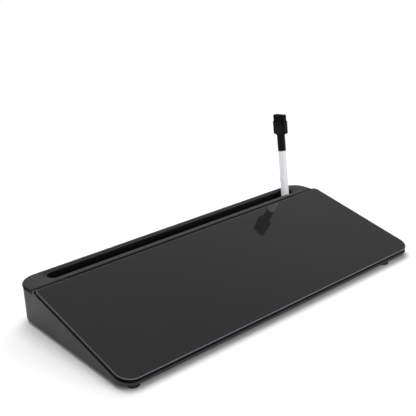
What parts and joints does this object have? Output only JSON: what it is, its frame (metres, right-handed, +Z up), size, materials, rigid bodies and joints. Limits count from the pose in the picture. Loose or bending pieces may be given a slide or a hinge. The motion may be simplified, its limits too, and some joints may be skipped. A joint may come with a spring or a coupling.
{
  "type": "desktop glass whiteboard organiser",
  "caption": "Low black wedge with a hinged sloped glass writing lid over a compartment tray, a rear rail with a long device slot, and a marker standing in a socket.",
  "frame": {"origin": "middle of the footprint, on the desk under the feet", "axes": "X runs along the rail (the longest way), Y runs from the low front edge to the rail at the back, Z is up"},
  "size_m": [0.4084, 0.1899, 0.1434],
  "materials": {
    "base_plastic": "fine moulded texture, satin black",
    "rail_plastic": "fine moulded texture, satin black",
    "foot_rubber": "soft matt black rubber",
    "screw_steel": "zinc plated",
    "lid_glass": "toughened glass, black printed back face",
    "sheet_steel": "thin cold rolled sheet",
    "bracket_plastic": "smooth moulded black",
    "pin_steel": "drawn steel wire",
    "bumper_clear": "clear soft polyurethane",
    "marker_white": "smooth white polypropylene",
    "ink_fibre": "bonded fibre rod, soaked black",
    "nib_plastic": "natural white plastic",
    "nib_felt": "pressed fibre, black",
    "cap_plastic": "smooth black polypropylene",
    "eraser_felt": "dense black felt"
  },
  "bodies": {
    "base": {"base_tray": "base_plastic", "rail_cover": "rail_plastic", "front_left_foot": "foot_rubber", "front_right_foot": "foot_rubber", "rear_left_foot": "foot_rubber", "rear_right_foot": "foot_rubber", "rail_screws": "screw_steel"},
    "lid": {"glass_panel": "lid_glass", "steel_sheet": "sheet_steel", "left_hinge_bracket": "bracket_plastic", "right_hinge_bracket": "bracket_plastic", "left_hinge_pin": "pin_steel", "right_hinge_pin": "pin_steel", "left_bumper": "bumper_clear", "right_bumper": "bumper_clear"},
    "marker": {"marker_barrel": "marker_white", "marker_end_plug": "marker_white", "ink_reservoir": "ink_fibre", "nib_holder": "nib_plastic", "marker_nib": "nib_felt"},
    "cap": {"marker_cap": "cap_plastic", "felt_eraser": "eraser_felt"}
  },
  "joints": [
    {"name": "lid_hinge", "type": "hinge", "parent": "base", "child": "lid", "pos_m": [0, 0.05661, 0.04197], "axis": [-1, 0, 0], "range_deg": [0, 110]},
    {"name": "marker_lift", "type": "slide", "parent": "base", "child": "marker", "axis": [0, 0.0924, 0.9957], "range_m": [0, 0.04]},
    {"name": "cap_pull", "type": "slide", "parent": "marker", "child": "cap", "axis": [0, 0.0924, 0.9957], "range_m": [0, 0.025]}
  ]
}
